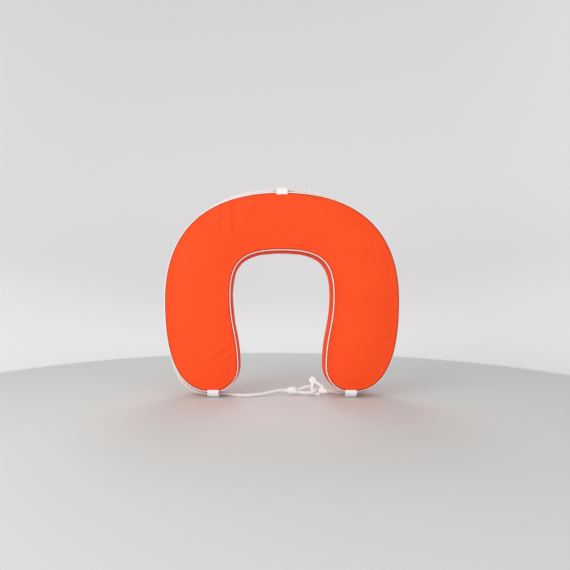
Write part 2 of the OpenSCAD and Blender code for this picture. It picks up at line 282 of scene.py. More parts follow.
def laid_rope(name, line, section, sizes=None, lay=rope_lay):
    """A mesh tube along the line whose section turns once in each lay; sizes gives its girth along it."""
    count = len(line) - 1
    step = path_length(line) / count
    curve = bpy.data.curves.new(name, "CURVE")
    curve.dimensions = "3D"
    curve.bevel_mode = "OBJECT"
    curve.bevel_object = section
    curve.use_fill_caps = True
    spline = curve.splines.new("POLY")
    spline.points.add(count)
    for k, point in enumerate(spline.points):
        point.co = (*line[k], 1)
        point.tilt = 2 * math.pi * (k - count / 2) * step / lay
        point.radius = sizes(k / count) if sizes else 1
    swept = add_object(name + "_curve", curve)
    mesh = bpy.data.meshes.new_from_object(swept.evaluated_get(bpy.context.evaluated_depsgraph_get()))
    bpy.data.objects.remove(swept)
    bm = bmesh.new()
    bm.from_mesh(mesh)
    bmesh.ops.remove_doubles(bm, verts=bm.verts, dist=1e-6)
    bmesh.ops.recalc_face_normals(bm, faces=bm.faces)
    bpy.data.meshes.remove(mesh)
    rope_map = bm.loops.layers.uv.verify()
    for face in bm.faces:
        for loop in face.loops:
            loop[rope_map].uv.x *= path_length(line)
    return mesh_piece(name, bm)


rope_section = lobed_section("rope_section", rope_r * rope_fullness, 3)
print("rope section of", len(rope_section.data.splines[0].points), "points")

# %% [markdown]
# ## Free ends of the rope
# Two free ends leave the loops under the legs. The left one lies on the ground, bows forward and
# thickens into the splice of its eye. The right one goes straight into the snap hook. Both follow
# the same points as their solids.

# %% Routes of the free ends
line_end_x = tip_spacing / 2 - tape_w / 2 - 5 * MM
left_line_y = -14 * MM
rope_lead = 14 * MM
closure_turn = math.radians(-3)
closure_place = Matrix.Translation((8 * MM, 4 * MM, 0)) @ Matrix.Rotation(closure_turn, 4, "Z")
closure_z = 11.5 * MM
splice_len = 34 * MM
splice_d = 22 * MM
socket_end_x = 118 * MM
socket_bore_depth = 18 * MM


def in_closure(x, y=0.0, z=closure_z):
    return closure_place @ Vector((x, y, z))


def loop_rope_z(y):
    """Height of the rope's middle under a leg, where it lies on the gusset at a depth of y."""
    return base_z - gusset_reach(y) - clearance - rope_r


left_exit = Vector((-line_end_x, left_line_y, loop_rope_z(left_line_y)))
right_exit = Vector((line_end_x, 0, loop_rope_z(0)))
left_ground = [(-132, -21, 5.4), (-114, -29, 5.1), (-94, -31, 5.1), (-72, -25.5, 5.1)]
left_ground += [(-51, -15, 5.4), (-33, -5, 6.9), (-19, 1.5, 9.4)]
left_route = [left_exit, left_exit + Vector((rope_lead, 0, 0))]
left_route += [Vector(p) * MM for p in left_ground]
left_route += [in_closure(-rope_lead), in_closure(0)]
right_route = [in_closure(socket_end_x - socket_bore_depth + clearance), in_closure(socket_end_x)]
right_route += [in_closure(socket_end_x + rope_lead)]
right_route += [Vector(p) * MM for p in [(146, -2.6, 9.9), (151.5, -1.4, 7.8)]]
right_route += [right_exit - Vector((rope_lead / 2, 0, 0)), right_exit]
print("free ends of", len(left_route), "and", len(right_route), "points")

# %% [markdown]
# ## Eye and splice
# The left end is turned back on itself round an open eye, and its strands are tucked into the
# standing rope. The splice is therefore a thicker rope that tapers to the plain one: six lobes in
# place of three, on a section that grows along the path.

# %% Eye and splice
eye_bend_r = 13 * MM
eye_end_x = 81.8 * MM + rope_r
eye_tilt = math.radians(30)
eye_lift = 3.6 * MM
bend_x = eye_end_x - eye_bend_r
strand_q = rope_r + clearance


def eye_point(x, q):
    lift = eye_lift * ease((x - splice_len - 3 * MM) / (bend_x - splice_len))
    return in_closure(x, q * math.cos(eye_tilt), closure_z + q * math.sin(eye_tilt) + lift)


eye_leg = [(splice_len - 3 * MM, strand_q), (splice_len + 3 * MM, strand_q)]
for x, q in [(43, 6.4), (50, 9.3), (58, 11.9), (65, 12.8)]:
    eye_leg.append((x * MM, q * MM))
bend_angles = [math.radians(a) for a in range(90, -91, -30)]
eye_bend = [(bend_x + eye_bend_r * math.cos(a), eye_bend_r * math.sin(a)) for a in bend_angles]
eye_back = [(x, -q) for x, q in reversed(eye_leg)]
eye_route = [eye_point(x, q) for x, q in eye_leg + eye_bend + eye_back]
rope_eye = laid_rope("rope_eye_rope", stepped(rounded(eye_route)), rope_section)
dress(rope_eye, "buoy", "rope", "rope_eye")

splice_section = lobed_section("splice_section", splice_d / 2, 6, 60, 0.88)
splice_stations = [(0, rope_d), (0.18, rope_d + 2 * MM), (0.52, splice_d - 1.4 * MM)]
splice_stations += [(0.74, splice_d), (1, splice_d * 0.86)]


def splice_size(t):
    for (t0, d0), (t1, d1) in zip(splice_stations, splice_stations[1:]):
        if t <= t1:
            return (d0 + (d1 - d0) * ease((t - t0) / (t1 - t0))) / splice_d
    return 1


splice_line = stepped([in_closure(0), in_closure(splice_len)])
eye_splice = laid_rope("eye_splice_rope", splice_line, splice_section, splice_size, 4 * rope_lay)
dress(eye_splice, "buoy", "rope", "eye_splice")

# %% [markdown]
# ## Cover
# The cover is four pieces of coated fabric: a front and a rear panel, and two gusset strips that
# join them round the outside and round the opening. A panel starts as a flat grid whose long edges
# are laid along the two sides of the seam. Its ends close at the tips of the legs, where the
# webbing hides the place in which the rows come together. A grid is better here than a voxel
# remesh, because the seam stays crisp for the piping.

# %% Start shapes of the panels
panel_columns = 26
start_crown = 0.9
crown_power = 2.5
half_band = arch_band / 2
band_steps = 2 * tip_station
seam_tree = KDTree(seam_n)
for i, point in enumerate(seam):
    seam_tree.insert(point, i)
seam_tree.balance()


def panel_rise(point):
    """How far a panel stands out at a point: nothing at the seam, all of its crown half a band away."""
    near = min(seam_tree.find(point)[2] / half_band, 1)
    return crown * (1 - (1 - near) ** crown_power)


def across_band(station, share):
    """A point of the band from its outer seam to its inner one; stations run from tip to tip."""
    outer = seam[(station - tip_station) % seam_n]
    inner = seam[(half_n + tip_station - station) % seam_n]
    return outer.lerp(inner, share)


def stretch_grid(rows, columns, place):
    """A grid whose corners' own coordinates run from 0 to 1, put where place(row, column) says."""
    bm = bmesh.new()
    bmesh.ops.create_grid(bm, x_segments=rows, y_segments=columns, size=0.5)
    cloth_map = bm.loops.layers.uv.new("cloth")
    cut = {}
    for vert in bm.verts:
        row = round((vert.co.x + 0.5) * rows)
        column = round((vert.co.y + 0.5) * columns)
        vert.co, cut[vert] = place(row, column)
    for face in bm.faces:
        for loop in face.loops:
            loop[cloth_map].uv = cut[loop.vert]
    bmesh.ops.remove_doubles(bm, verts=bm.verts, dist=0.01 * MM)
    bm.faces.ensure_lookup_table()
    bm.normal_update()
    return bm


def panel(name, side):
    """One panel; side is -1 at the front and 1 at the rear."""

    def place(row, column):
        point = across_band(row, column / panel_columns)
        depth = half_gusset + start_crown * panel_rise(point)
        return Vector((point.x, side * depth, point.z)), (point.x, point.z)

    bm = stretch_grid(band_steps, panel_columns, place)
    if (bm.faces[0].normal.y > 0) != (side > 0):
        bmesh.ops.reverse_faces(bm, faces=bm.faces)
    return mesh_piece(name, bm)


front_panel = panel("front_panel_cloth", -1)
rear_panel = panel("rear_panel_cloth", 1)
print("panel of", len(front_panel.data.vertices), "corners")

# %% Start shapes of the gusset strips
gusset_columns = 18
start_swell = 0.92
join_station = tip_station + 4 * leg_steps // 10


def gusset(name, first, last):
    """A strip across the cover's thickness, from one station of the seam to another."""

    def place(row, column):
        station = (first + row) % seam_n
        y = half_gusset * (2 * column / gusset_columns - 1)
        point = seam[station] + outward[station] * gusset_reach(y) * start_swell
        along = row * path_length(seam) / seam_n
        return Vector((point.x, y, point.z)), (along, y)

    bm = stretch_grid(last - first, gusset_columns, place)
    face = bm.faces[gusset_columns // 2]
    if face.normal.dot(outward[seam_tree.find(face.calc_center_median())[1]]) < 0:
        bmesh.ops.reverse_faces(bm, faces=bm.faces)
    return mesh_piece(name, bm)


outer_gusset = gusset("outer_gusset_cloth", -join_station, join_station)
inner_gusset = gusset("inner_gusset_cloth", join_station, seam_n - join_station)
cover = [front_panel, rear_panel, outer_gusset, inner_gusset]
print("gussets of", len(outer_gusset.data.vertices), "and", len(inner_gusset.data.vertices), "corners")

# %% [markdown]
# ## Settle the cover
# Sewn fabric over foam is drawn tight by its seams and pushed out by the foam. A cloth simulation
# with the seams pinned, a little spare fabric and a low pressure from inside gives it that shape,
# with the slight unevenness that no formula has. Gravity stays off, because the foam carries the
# cloth. The result is applied, so no simulation is left on the pieces.

# %% Cloth simulation
spare_fabric = 0.0012
foam_pressure = 2.0
settle_frames = 22
settle_cap = 6 * MM


def pin_seams(piece):
    bm = bmesh.new()
    bm.from_mesh(piece.data)
    edge = [vert.index for vert in bm.verts if vert.is_boundary]
    bm.free()
    piece.vertex_groups.new(name="seam").add(edge, 1.0, "REPLACE")


def add_cloth(piece):
    pin_seams(piece)
    cloth = piece.modifiers.new("settle", "CLOTH")
    cloth.settings.quality = 6
    cloth.settings.mass = 0.3
    cloth.settings.tension_stiffness = 25
    cloth.settings.compression_stiffness = 25
    cloth.settings.shear_stiffness = 8
    cloth.settings.bending_stiffness = 5
    cloth.settings.air_damping = 3
    cloth.settings.use_pressure = True
    cloth.settings.uniform_pressure_force = foam_pressure
    cloth.settings.shrink_min = -spare_fabric
    cloth.settings.vertex_group_mass = "seam"
    cloth.settings.effector_weights.gravity = 0
    cloth.collision_settings.use_collision = False
    cloth.point_cache.frame_end = settle_frames


def applied(piece):
    """The piece's mesh with its modifiers applied, and the modifiers and groups gone."""
    mesh = bpy.data.meshes.new_from_object(piece.evaluated_get(bpy.context.evaluated_depsgraph_get()))
    piece.modifiers.clear()
    piece.vertex_groups.clear()
    mesh.shade_smooth()
    return mesh


def settle(pieces):
    started = [[vert.co.copy() for vert in piece.data.vertices] for piece in pieces]
    for piece in pieces:
        add_cloth(piece)
    for number in range(1, settle_frames + 1):
        scene.frame_set(number)
    for piece, start in zip(pieces, started):
        piece.data = applied(piece)
        furthest = 0
        for vert, place in zip(piece.data.vertices, start):
            move = vert.co - place
            furthest = max(furthest, move.length)
            if move.length > settle_cap:
                vert.co = place + move.normalized() * settle_cap
        print(piece.name, "moved by up to", round(furthest / MM, 1), "mm")
    scene.frame_set(1)


settle(cover)

# %% [markdown]
# ## Folds, puckers and edges
# The simulation gives the broad shape. The folds that show on the left of the front panel are listed
# one by one: each is a soft ridge between two points, with a dip on either side. Every seam also
# draws its fabric into small puckers, which die out within two fingers' breadth of the piping. Near
# their edges the panels stand a little proud and then turn in beside the piping, so that the bead
# lies in a crease. Each piece also notes how far its fabric is off the seam and along it, which
# places the stitches later on.

# %% Sizes of the folds and edges
pucker_height = 0.55 * MM
pucker_length = 11 * MM
pucker_reach = 9 * MM
pucker_start = 2 * MM
seam_tuck = 0.9 * MM
roll_lift = 2.6 * MM
roll_reach = 14 * MM
roll_over = 1.8 * MM
turn_in = 2.2 * MM
front_folds = [
    ((-171, 502), (-168, 446), 9, 2.6),
    ((-141, 516), (-139, 440), 12, 3.5),
    ((-72, 530), (-105, 468), 11, 3.2),
    ((-192, 318), (-150, 262), 10, 2.2),
    ((-200, 286), (-168, 236), 9, 1.5),
    ((-196, 106), (-146, 141), 9, 2.5),
    ((-163, 98), (-137, 118), 6, 1.7),
    ((116, 528), (112, 486), 8, 1.0),
]
rear_folds = [
    ((150, 505), (138, 430), 9, 1.8),
    ((-120, 510), (-104, 455), 9, 1.6),
    ((196, 130), (158, 152), 9, 2.0),
    ((-226, 262), (-186, 240), 10, 1.4),
]
fold_overrun = 0.2
fold_fade = 0.45
seam_runs = [0]
for a, b in zip(seam, seam[1:] + seam[:1]):
    seam_runs.append(seam_runs[-1] + (b - a).length)
seam_length = seam_runs[-1]
print(len(front_folds), "folds at the front and", len(rear_folds), "at the rear")


# %% Finer cloth with folds and puckers

def seam_place(point):
    """How far a point lies off the seam and along it, and the nearest station, seen from the front."""
    flat = Vector((point.x, 0, point.z))
    found = seam_tree.find(flat)[1]
    places = []
    for station in (found - 1, found):
        a, b = seam[station], seam[(station + 1) % seam_n]
        share = min(max(intersect_point_line(flat, a, b)[1], 0), 1)
        run = seam_runs[station % seam_n] + share * (b - a).length
        places.append(((flat - a.lerp(b, share)).length, run, found))
    return min(places)


def fold_height(point, folds):
    """How far the folds lift the fabric at a point of a panel."""
    lift = 0
    for (x0, z0), (x1, z1), width, height in folds:
        start = Vector((x0, z0)) * MM
        run = Vector((x1, z1)) * MM - start
        offset = Vector((point.x, point.z)) - start
        share = offset.dot(run) / run.length_squared
        if -fold_overrun < share < 1 + fold_overrun:
            off = (offset - run * share).length / (width * MM)
            fade = ease((share + fold_overrun) / fold_fade) * ease((1 + fold_overrun - share) / fold_fade)
            lift += height * MM * fade * (1 - off * off) * math.exp(-off * off)
    return lift


def roll_edge(bm, side, from_seam):
    """Turns a panel's edges in behind the piping; side is -1 at the front and 1 at the rear."""
    edges = [edge for edge in bm.edges if edge.is_boundary]
    turned = bmesh.ops.extrude_edge_only(bm, edges=edges)["geom"]
    cloth_map = bm.loops.layers.uv["cloth"]
    for vert in turned:
        if isinstance(vert, bmesh.types.BMVert):
            vert.co.y -= side * turn_in
            vert[from_seam] = 0
    for face in turned:
        if isinstance(face, bmesh.types.BMFace):
            for loop in face.loops:
                loop[cloth_map].uv = (loop.vert.co.x, loop.vert.co.z)


def finish_cloth(piece, side=0, folds=()):
    """Finer faces, the folds and puckers, and edges that meet the piping; side is 0 for a gusset."""
    finer = piece.modifiers.new("finer", "SUBSURF")
    finer.levels = finer.render_levels = 1
    finer.boundary_smooth = "PRESERVE_CORNERS"
    piece.data = applied(piece)
    bm = bmesh.new()
    bm.from_mesh(piece.data)
    bm.normal_update()
    from_seam = bm.verts.layers.float.new("from_seam")
    along_seam = bm.loops.layers.float.new("along_seam")
    for vert in bm.verts:
        flat = Vector((vert.co.x, 0, vert.co.z))
        gap, _, station = seam_place(flat)
        vert[from_seam] = Vector((gap, half_gusset - abs(vert.co.y))).length
        place = vert.co / pucker_length
        place.y += math.copysign(7, vert.co.y)
        pull = noise.noise(place) * pucker_height * math.exp(-vert[from_seam] / pucker_reach)
        pull *= min(vert[from_seam] / pucker_start, 1)
        vert.co += vert.normal * (pull + fold_height(flat, folds))
        vert.co.y += side * roll_lift * (1 - ease(gap / roll_reach))
        if vert.is_boundary and vert[from_seam] < 0.5 * MM:
            vert.co += outward[station] * (roll_over if side else seam_tuck)
    if side:
        roll_edge(bm, side, from_seam)
    runs = {vert: seam_place(vert.co)[1] for vert in bm.verts}
    for face in bm.faces:
        first = runs[face.loops[0].vert]
        for loop in face.loops:
            laps = round((first - runs[loop.vert]) / seam_length)
            loop[along_seam] = runs[loop.vert] + laps * seam_length
    bm.to_mesh(piece.data)
    bm.free()
    thick = piece.modifiers.new("thickness", "SOLIDIFY")
    thick.thickness = fabric_t
    thick.offset = -1


finish_cloth(front_panel, -1, front_folds)
finish_cloth(rear_panel, 1, rear_folds)
finish_cloth(outer_gusset)
finish_cloth(inner_gusset)
for piece, node in zip(cover, ("front_panel", "rear_panel", "outer_gusset", "inner_gusset")):
    dress(piece, "buoy", "cover_fabric", node)

# %% [markdown]
# ## Piping
# A bead of white vinyl is sewn into each seam. It is a round cord that follows the seam a little
# outside it, so a curve with a round bevel is all that it takes.

# %% Piping beads
bead_n = piping_d / 2 + clearance
piping_y = half_gusset + 0.5 * MM


def piping(name, y):
    curve = bpy.data.curves.new(name, "CURVE")
    curve.dimensions = "3D"
    curve.bevel_depth = piping_d / 2
    curve.bevel_resolution = 3
    spline = curve.splines.new("POLY")
    spline.points.add(seam_n - 1)
    spline.use_cyclic_u = True
    for i, point in enumerate(spline.points):
        place = seam[i] + outward[i] * bead_n
        point.co = (place.x, y, place.z, 1)
    swept = add_object(name + "_curve", curve)
    mesh = bpy.data.meshes.new_from_object(swept.evaluated_get(bpy.context.evaluated_depsgraph_get()))
    bpy.data.objects.remove(swept)
    mesh.shade_smooth()
    return add_object(name, mesh)


front_piping = piping("front_piping_bead", -piping_y)
rear_piping = piping("rear_piping_bead", piping_y)
dress(front_piping, "buoy", "piping", "front_piping")
dress(rear_piping, "buoy", "piping", "rear_piping")

# %% [markdown]
# ## Webbing loops
# Three loops of woven tape hold the rope to the edge: one over the arch and one under each leg. The
# tape runs from seam to seam, flat in the middle and bent down at its shoulders, and its ends pass
# over the piping and turn in to the seams. A grid laid along that line gives the tape a map of its
# own, and Solidify gives it its thickness.

# %% Webbing loops
loop_flat = 50 * MM
loop_reach = piping_y + piping_d / 2 + clearance + tape_t / 2
loop_height = loop_inner + tape_t / 2
loop_lip = 2 * MM
tape_rows = 84
tape_columns = 16
shoulder_steps = 16


def tape_line():
    """The middle of the tape's thickness across the cover: depth along Y and height along Z."""
    side = []
    for i in range(shoulder_steps + 1):
        a = math.pi / 2 * i / shoulder_steps
        y = loop_flat / 2 + (loop_reach - loop_flat / 2) * math.sin(a)
        side.append(Vector((0, y, bead_n + (loop_height - bead_n) * math.cos(a))))
    side.append(Vector((0, loop_reach, -tape_t / 3)))
    side.append(Vector((0, loop_reach - tape_t, -tape_t / 3 - loop_lip)))
    other = [Vector((0, -p.y, p.z)) for p in reversed(side)]
    return even(other + side, tape_rows)


tape_points = tape_line()
tape_step = path_length(tape_points) / tape_rows


def webbing_loop(name, foot, up):
    """A loop that stands on the seam at foot; up is 1 over the arch and -1 under a leg."""

    def place(row, column):
        x = tape_w * (column / tape_columns - 0.5)
        line = tape_points[row]
        return Vector((foot.x + x, line.y, foot.z + up * line.z)), (row * tape_step, x)

    bm = stretch_grid(tape_rows, tape_columns, place)
    face = bm.faces[tape_rows * tape_columns // 2]
    if face.normal.z * up < 0:
        bmesh.ops.reverse_faces(bm, faces=bm.faces)
    loop = mesh_piece(name, bm)
    thick = loop.modifiers.new("thickness", "SOLIDIFY")
    thick.thickness = tape_t
    thick.offset = 0
    soft_edge = loop.modifiers.new("soft_edge", "BEVEL")
    soft_edge.width = 0.5 * MM
    soft_edge.segments = 2
    return loop


left_tip = Vector((-tip_point.x, 0, tip_point.z))
top_loop = webbing_loop("top_rope_loop_tape", top_point, 1)
left_loop = webbing_loop("left_rope_loop_tape", left_tip, -1)
right_loop = webbing_loop("right_rope_loop_tape", tip_point, -1)
loops = [top_loop, left_loop, right_loop]
for loop, node in zip(loops, ("top_rope_loop", "left_rope_loop", "right_rope_loop")):
    dress(loop, "buoy", "webbing", node)

# %% [markdown]
# ## Grab line
# The rope lies on the gusset all round the outside. It passes the top loop near the front, slips
# back along the sides, where the front seam hides it, and stands off the legs a little where its
# slack gathers beside their loops.

# %% Route of the grab line
rope_back = 22 * MM
top_rope_front = 20 * MM
rope_slack = 3.5 * MM
arch_stations = 12
leg_stations = 10


def seam_station(b):
    """A point of the right half's outside and its outward direction at the solid's own station."""
    on_arch = b <= arch_stations
    curve = seam_curves[0] if on_arch else seam_curves[1]
    share = b / arch_stations if on_arch else (b - arch_stations) / leg_stations
    fine = interpolate_bezier(*curve, 241)
    k = round(share * 240)
    along = fine[min(k + 1, 240)] - fine[max(k - 1, 0)]
    return fine[k], Vector((-along.z, 0, along.x)).normalized()


def grab_point(b, end_y):
    """The rope's middle at a station of the right half; end_y is its depth under the leg."""
    point, out = seam_station(b)
    over = ease((b - 1) / 5)
    under = ease((b - 14) / 6)
    y = -top_rope_front * (1 - over) + rope_back * over * (1 - under) + end_y * under
    slack = rope_slack * ease((b - 15) / 4.5) * (1 - ease((b - 20.5) / 1.5))
    place = point + out * (gusset_reach(y) + clearance + rope_r + slack)
    return Vector((place.x, y, place.z))


stations = range(arch_stations + leg_stations + 1)
right_side = [grab_point(b, 0) for b in stations] + [right_exit]
left_side = mirrored([grab_point(b, left_line_y) for b in stations]) + [left_exit]
grab_route = list(reversed(left_side[1:])) + right_side
print("grab line of", len(grab_route), "points")

# %% [markdown]
# ## One rope, three pieces
# The grab line and both free ends are one rope. It is swept whole and cut where it leaves the two
# leg loops, so the strands run on through the cuts. Three sweeps would each start their own turn.

# %% Whole rope and its cuts
rope_route = left_route[:0:-1] + grab_route + right_route[-2::-1]
smooth_rope = rounded(rope_route)
per_point = (len(smooth_rope) - 1) // (len(rope_route) - 1)
left_cut = (len(left_route) - 1) * per_point
right_cut = len(smooth_rope) - 1 - (len(right_route) - 1) * per_point
left_line = stepped(smooth_rope[: left_cut + 1])
grab_path = stepped(smooth_rope[left_cut : right_cut + 1])
right_line = stepped(smooth_rope[right_cut:])
rope_line = left_line + grab_path[1:] + right_line[1:]
whole_rope = laid_rope("whole_rope", rope_line, rope_section)
rope_tree = KDTree(len(rope_line) - 1)
for i, (a, b) in enumerate(zip(rope_line, rope_line[1:])):
    rope_tree.insert(a.lerp(b, 0.5), i)
rope_tree.balance()


def cut_rope(name, first, last):
    """The whole rope between two points of its line, closed at both ends."""
    bm = bmesh.new()
    bm.from_mesh(whole_rope.data)
    spare = []
    for face in bm.faces:
        if not first <= rope_tree.find(face.calc_center_median())[1] < last:
            spare.append(face)
    bmesh.ops.delete(bm, geom=spare, context="FACES")
    bmesh.ops.holes_fill(bm, edges=bm.edges, sides=0)
    bmesh.ops.recalc_face_normals(bm, faces=bm.faces)
    return mesh_piece(name, bm)


grab_start = len(left_line) - 1
grab_end = grab_start + len(grab_path) - 1
left_tail = cut_rope("left_tail_rope", 0, grab_start)
grab_line = cut_rope("grab_line_rope", grab_start, grab_end)
right_tail = cut_rope("right_tail_rope", grab_end, len(rope_line))
bpy.data.objects.remove(whole_rope)
dress(left_tail, "buoy", "rope", "left_tail")
dress(grab_line, "buoy", "rope", "grab_line")
dress(right_tail, "buoy", "rope", "right_tail")
for name, line in (("left tail", left_line), ("grab line", grab_path), ("right tail", right_line)):
    print(name, round(path_length(line), 4), "m")

# %% [markdown]
# ## Foam
# Three slabs of closed-cell foam fill the cover. Nobody sees them while the cover is sewn shut, so
# each is a plain slab that follows the band and stays clear of the fabric's folds.

# %% Foam slabs
foam_columns = 12
foam_step = 2
foam_clear = 4.5 * MM
middle_half_t = 15 * MM


def foam_slab(name, near_y, far_y, inset, crowned=False):
    """A slab between two depths; a crowned one follows the panel over its near side."""
    side = 1 if near_y > far_y else -1

    def place(row, column):
        share = column / foam_columns
        point = across_band(row * foam_step, share)
        gap = seam_tree.find(point)[2]
        middle = across_band(min(max(row * foam_step, leg_steps // 2), band_steps - leg_steps // 2), 0.5)
        point = point + (middle - point).normalized() * inset * (1 - min(gap / half_band, 1))
        rise = panel_rise(point) if crowned else 0
        return Vector((point.x, near_y + side * rise, point.z)), (point.x, point.z)

    bm = stretch_grid(band_steps // foam_step, foam_columns, place)
    pulled = bmesh.ops.extrude_face_region(bm, geom=bm.faces[:])
    for item in pulled["geom"]:
        if isinstance(item, bmesh.types.BMVert):
            item.co.y = far_y
    bmesh.ops.recalc_face_normals(bm, faces=bm.faces)
    return mesh_piece(name, bm, smooth=False)


front_foam = foam_slab("front_foam_slab", -half_gusset + foam_clear, -middle_half_t, 5 * MM, True)
middle_foam = foam_slab("middle_foam_slab", middle_half_t - clearance, clearance - middle_half_t, 1 * MM)
rear_foam = foam_slab("rear_foam_slab", half_gusset - foam_clear, middle_half_t, 5 * MM, True)
foams = [front_foam, middle_foam, rear_foam]
for foam, node in zip(foams, ("front_foam", "middle_foam", "rear_foam")):
    dress(foam, "buoy", "foam", node)

# %% [markdown]
# ## Snap hook
# The hook is moulded, so none of its edges is sharp. Its solid has the right shape, and a copy of
# it is turned into small even quads and smoothed, which rounds every edge by about the same amount.
# A bevel would have to cope with the many short edges where the solid's parts meet.


# %% Hook and gate
def moulded(name, node, voxel, rounds):
    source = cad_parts[node]
    bm = bmesh.new()
    bm.from_mesh(source.data)
    bmesh.ops.remove_doubles(bm, verts=bm.verts, dist=0.001 * MM)
    rough = mesh_piece(name, bm)
    remesh = rough.modifiers.new("even_quads", "REMESH")
    remesh.mode = "VOXEL"
    remesh.voxel_size = voxel
    mesh = bpy.data.meshes.new_from_object(rough.evaluated_get(bpy.context.evaluated_depsgraph_get()))
    rough.modifiers.clear()
    bm = bmesh.new()
    bm.from_mesh(mesh)
    bpy.data.meshes.remove(mesh)
    every_axis = {"use_axis_x": True, "use_axis_y": True, "use_axis_z": True}
    for _ in range(rounds):
        bmesh.ops.smooth_vert(bm, verts=bm.verts, factor=0.5, **every_axis)
    bm.to_mesh(rough.data)
    bm.free()
    rough.data.shade_smooth()
    return rough


hook_body = moulded("hook_body_moulding", "hook_body", 0.35 * MM, 5)
hook_gate = moulded("hook_gate_moulding", "hook_gate", 0.25 * MM, 3)
dress(hook_body, "buoy", "hook_moulding", "hook_body")
dress(hook_gate, "gate", "hook_moulding", "hook_gate")
hook_steel = [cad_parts[name] for name in ("gate_pin", "gate_spring")]

# %% [markdown]
# ## Floor, backdrop and light
# The buoy stands on a pale grey floor that sweeps up into a paler backdrop all round. Only the camera
# sees the backdrop, so the lamps and the sky shine through it. A wide lamp in front and to the left
# gives soft shadows, a weaker one fills in from the right, a third lights the back and the floor
# behind, and an even sky keeps the shaded fabric from going black.

# %% Floor and backdrop
floor_r = 1.05
sweep_r = 0.5
wall_top = 4.0
stage_segments = 96

bm = bmesh.new()
bmesh.ops.create_circle(bm, cap_ends=True, radius=floor_r, segments=stage_segments)
floor = mesh_piece("floor", bm)

bm = bmesh.new()
rim = bm.verts.new((floor_r, 0, 0))
sweep = bmesh.ops.spin(
    bm, geom=[rim], cent=(floor_r, 0, sweep_r), axis=(0, -1, 0), angle=math.pi / 2, steps=24,
)
wall_foot = sweep["geom_last"][0]
wall_head = bm.verts.new((floor_r + sweep_r, 0, wall_top))
bm.edges.new((wall_foot, wall_head))
bmesh.ops.spin(
    bm, geom=[*bm.verts, *bm.edges], cent=(0, 0, 0), axis=(0, 0, 1), angle=2 * math.pi,
    steps=stage_segments, use_merge=True,
)
bmesh.ops.recalc_face_normals(bm, faces=bm.faces)
backdrop = mesh_piece("backdrop", bm)
backdrop.visible_shadow = False
backdrop.visible_diffuse = False
backdrop.visible_glossy = False
print("backdrop of", len(backdrop.data.polygons), "faces")


# %% Lamps and sky
def area_lamp(name, place, aim, width, power):
    data = bpy.data.lights.new(name, "AREA")
    data.shape = "DISK"
    data.size = width
    data.energy = power
    lamp = add_object(name, data)
    lamp.location = place
    lamp.rotation_euler = (Vector(aim) - Vector(place)).to_track_quat("-Z", "Y").to_euler()
    lamp.visible_camera = False


area_lamp("key", (-1.4, -1.5, 0.9), (0, 0, 0.25), 1.9, 25)
area_lamp("fill", (0.9, -2.2, 0.8), (0, 0, 0.25), 1.8, 12)
area_lamp("back", (0, 2.4, 2.3), (0, 0.1, 0), 1.4, 20)
sky_strength = 0.56
sky = bpy.data.worlds.new("sky")
sky.use_nodes = True
sky.node_tree.nodes["Background"].inputs["Color"].default_value = (1, 1, 1, 1)
sky.node_tree.nodes["Background"].inputs["Strength"].default_value = sky_strength
scene.world = sky

# %% [markdown]
# ## Shader maths
# A finish is mostly sums: a weave is a product of waves, and wear is a mask times a share. Written
# as nodes one by one, such sums can't be read, so one small class wraps a socket and lets Python's
# operators add the Math nodes. Every other node comes from its one method.


# %% The socket class
class Shade:
    """A socket of a material's nodes, with Python's operators for the maths on it."""

    def __init__(self, tree, socket=None):
        self.tree = tree
        self.socket = socket

    def node(self, kind, settings=None, inputs=None, output=0):
        """Any node: its settings are set first, then the values or links of its sockets."""
        made = self.tree.nodes.new(kind)
        for name, value in (settings or {}).items():
            setattr(made, name, value)
        for name, value in (inputs or {}).items():
            if isinstance(value, Shade):
                self.tree.links.new(value.socket, made.inputs[name])
            else:
                made.inputs[name].default_value = value
        return Shade(self.tree, made.outputs[output])

    def maths(self, operation, *values):
        return self.node("ShaderNodeMath", {"operation": operation}, dict(enumerate(values)))

    def __add__(self, other):
        return self.maths("ADD", self, other)

    def __sub__(self, other):
        return self.maths("SUBTRACT", self, other)

    def __rsub__(self, other):
        return self.maths("SUBTRACT", other, self)

    def __mul__(self, other):
        return self.maths("MULTIPLY", self, other)

    def __abs__(self):
        return self.maths("ABSOLUTE", self)

    __radd__ = __add__
    __rmul__ = __mul__

    def wave(self, pitch):
        """A wave from -1 to 1 that repeats in each pitch."""
        return self.maths("SINE", self * (2 * math.pi / pitch))

    def between(self, low, high):
        """0 at low and below, 1 at high and above."""
        limits = {"From Min": low, "From Max": high}
        return self.node("ShaderNodeMapRange", {"clamp": True}, {"Value": self, **limits})

    def blend(self, a, b):
        """Colour a where this is 0 and colour b where it is 1."""
        return self.node("ShaderNodeMix", {"data_type": "RGBA"}, {0: self, 6: a, 7: b}, output=2)

    def axis(self, name):
        return self.node("ShaderNodeSeparateXYZ", None, {"Vector": self}, name)


